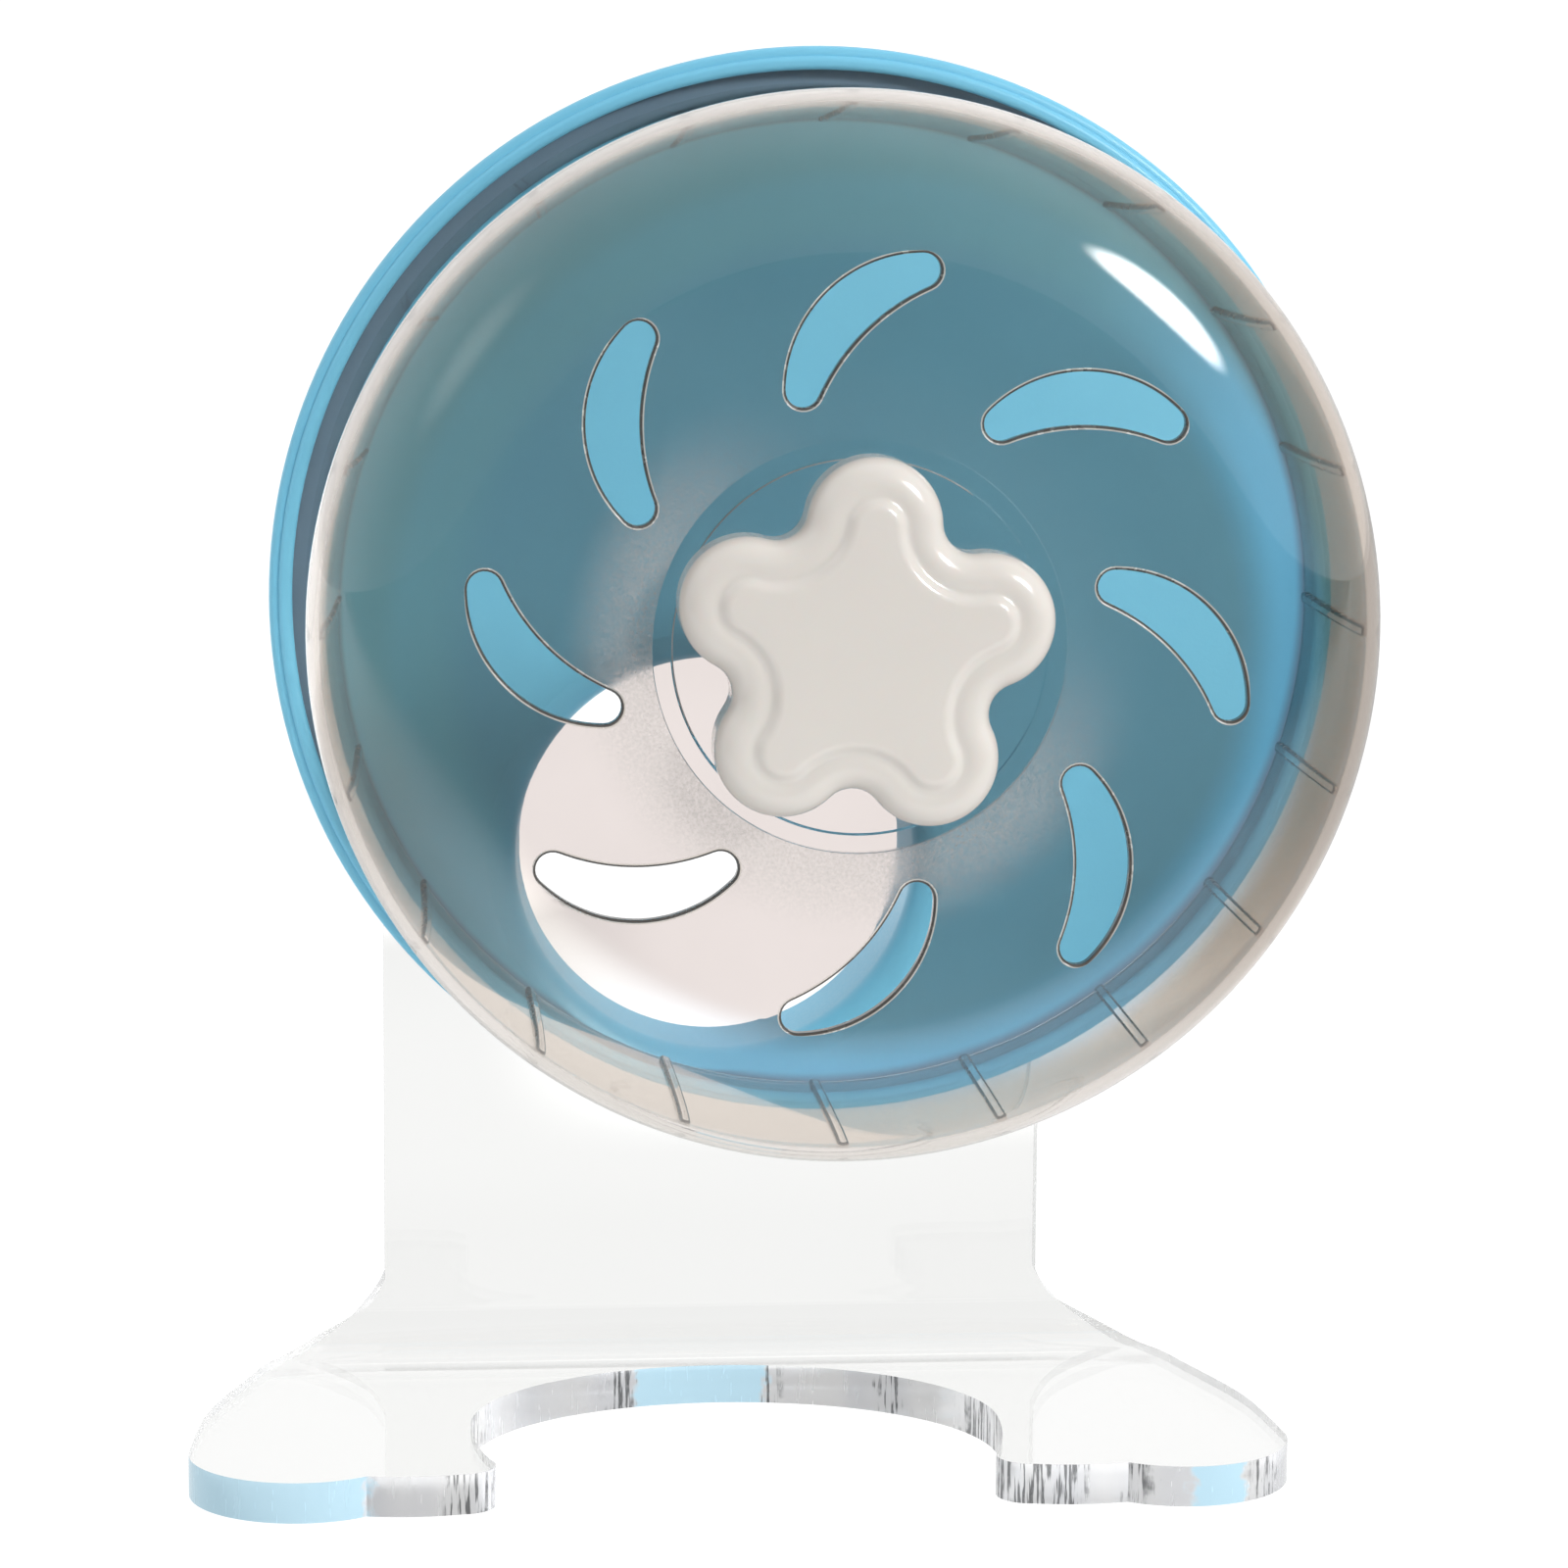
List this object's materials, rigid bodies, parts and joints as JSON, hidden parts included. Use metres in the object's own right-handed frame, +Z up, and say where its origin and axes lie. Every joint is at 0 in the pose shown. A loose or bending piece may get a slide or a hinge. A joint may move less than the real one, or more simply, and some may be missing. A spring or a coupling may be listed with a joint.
{
  "type": "pet exercise wheel",
  "caption": "Round exercise wheel for a small pet: a tinted vented drum turns in a dished back housing that hangs by its entrance collar on a bent clear stand.",
  "frame": {"origin": "on the underside of the base, on the stand's mid-plane, in the middle of the bridge behind the cut-out", "axes": "+Z up; the vented face looks along -Y towards the viewer and the entrance opens along +Y; +X is the viewer's right"},
  "size_m": [0.2411, 0.1244, 0.2806],
  "materials": {
    "clear_acrylic": "polished clear sheet",
    "smoky_plastic": "polished warm grey tint",
    "blue_plastic": "moulded satin blue",
    "white_plastic": "polished warm white",
    "soft_rubber": "matt",
    "grey_plastic": "moulded",
    "zinc_steel": "zinc plated",
    "bearing_steel": "ground"
  },
  "bodies": {
    "stand": {"acrylic_stand": "clear_acrylic"},
    "housing": {"back_housing": "blue_plastic", "collar_gasket": "soft_rubber", "axle_bolt": "zinc_steel", "boss_washer": "zinc_steel", "jam_nut": "zinc_steel", "rear_spacer": "zinc_steel", "middle_spacer": "zinc_steel", "axle_washer": "zinc_steel", "lock_nut": "zinc_steel", "rear_inner_race": "bearing_steel", "front_inner_race": "bearing_steel"},
    "clamp": {"clamp_ring": "blue_plastic"},
    "wheel": {"running_drum": "smoky_plastic", "flower_cap": "white_plastic", "hub_carrier": "grey_plastic", "hub_screw_1": "zinc_steel", "hub_screw_2": "zinc_steel", "hub_screw_3": "zinc_steel", "hub_screw_4": "zinc_steel", "rear_outer_race": "bearing_steel", "front_outer_race": "bearing_steel", "rear_bearing_shield_1": "bearing_steel", "rear_bearing_shield_2": "bearing_steel", "front_bearing_shield_1": "bearing_steel", "front_bearing_shield_2": "bearing_steel"},
    "ball_cages": {"rear_ball_cage": "bearing_steel", "front_ball_cage": "bearing_steel", "rear_ball_1": "bearing_steel", "rear_ball_2": "bearing_steel", "rear_ball_3": "bearing_steel", "rear_ball_4": "bearing_steel", "rear_ball_5": "bearing_steel", "rear_ball_6": "bearing_steel", "rear_ball_7": "bearing_steel", "front_ball_1": "bearing_steel", "front_ball_2": "bearing_steel", "front_ball_3": "bearing_steel", "front_ball_4": "bearing_steel", "front_ball_5": "bearing_steel", "front_ball_6": "bearing_steel", "front_ball_7": "bearing_steel"}
  },
  "joints": [
    {"name": "housing_swivel", "type": "hinge", "parent": "stand", "child": "housing", "pos_m": [0, 0.0135, 0.1132], "axis": [0, 1, 0], "range_deg": [-98, 57]},
    {"name": "wheel_spin", "type": "hinge", "parent": "housing", "child": "wheel", "pos_m": [0.02014, 0.0135, 0.16823], "axis": [0, 1, 0], "continuous": true},
    {"name": "cage_spin", "type": "hinge", "parent": "housing", "child": "ball_cages", "pos_m": [0.02014, 0.0135, 0.16823], "axis": [0, 1, 0], "continuous": true},
    {"name": "clamp_turn", "type": "hinge", "parent": "housing", "child": "clamp", "pos_m": [0, 0.0135, 0.1132], "axis": [0, 1, 0], "range_deg": [0, 35]}
  ],
  "couplings": [
    {"joint": "cage_spin", "follows": "wheel_spin", "ratio": 0.631}
  ]
}
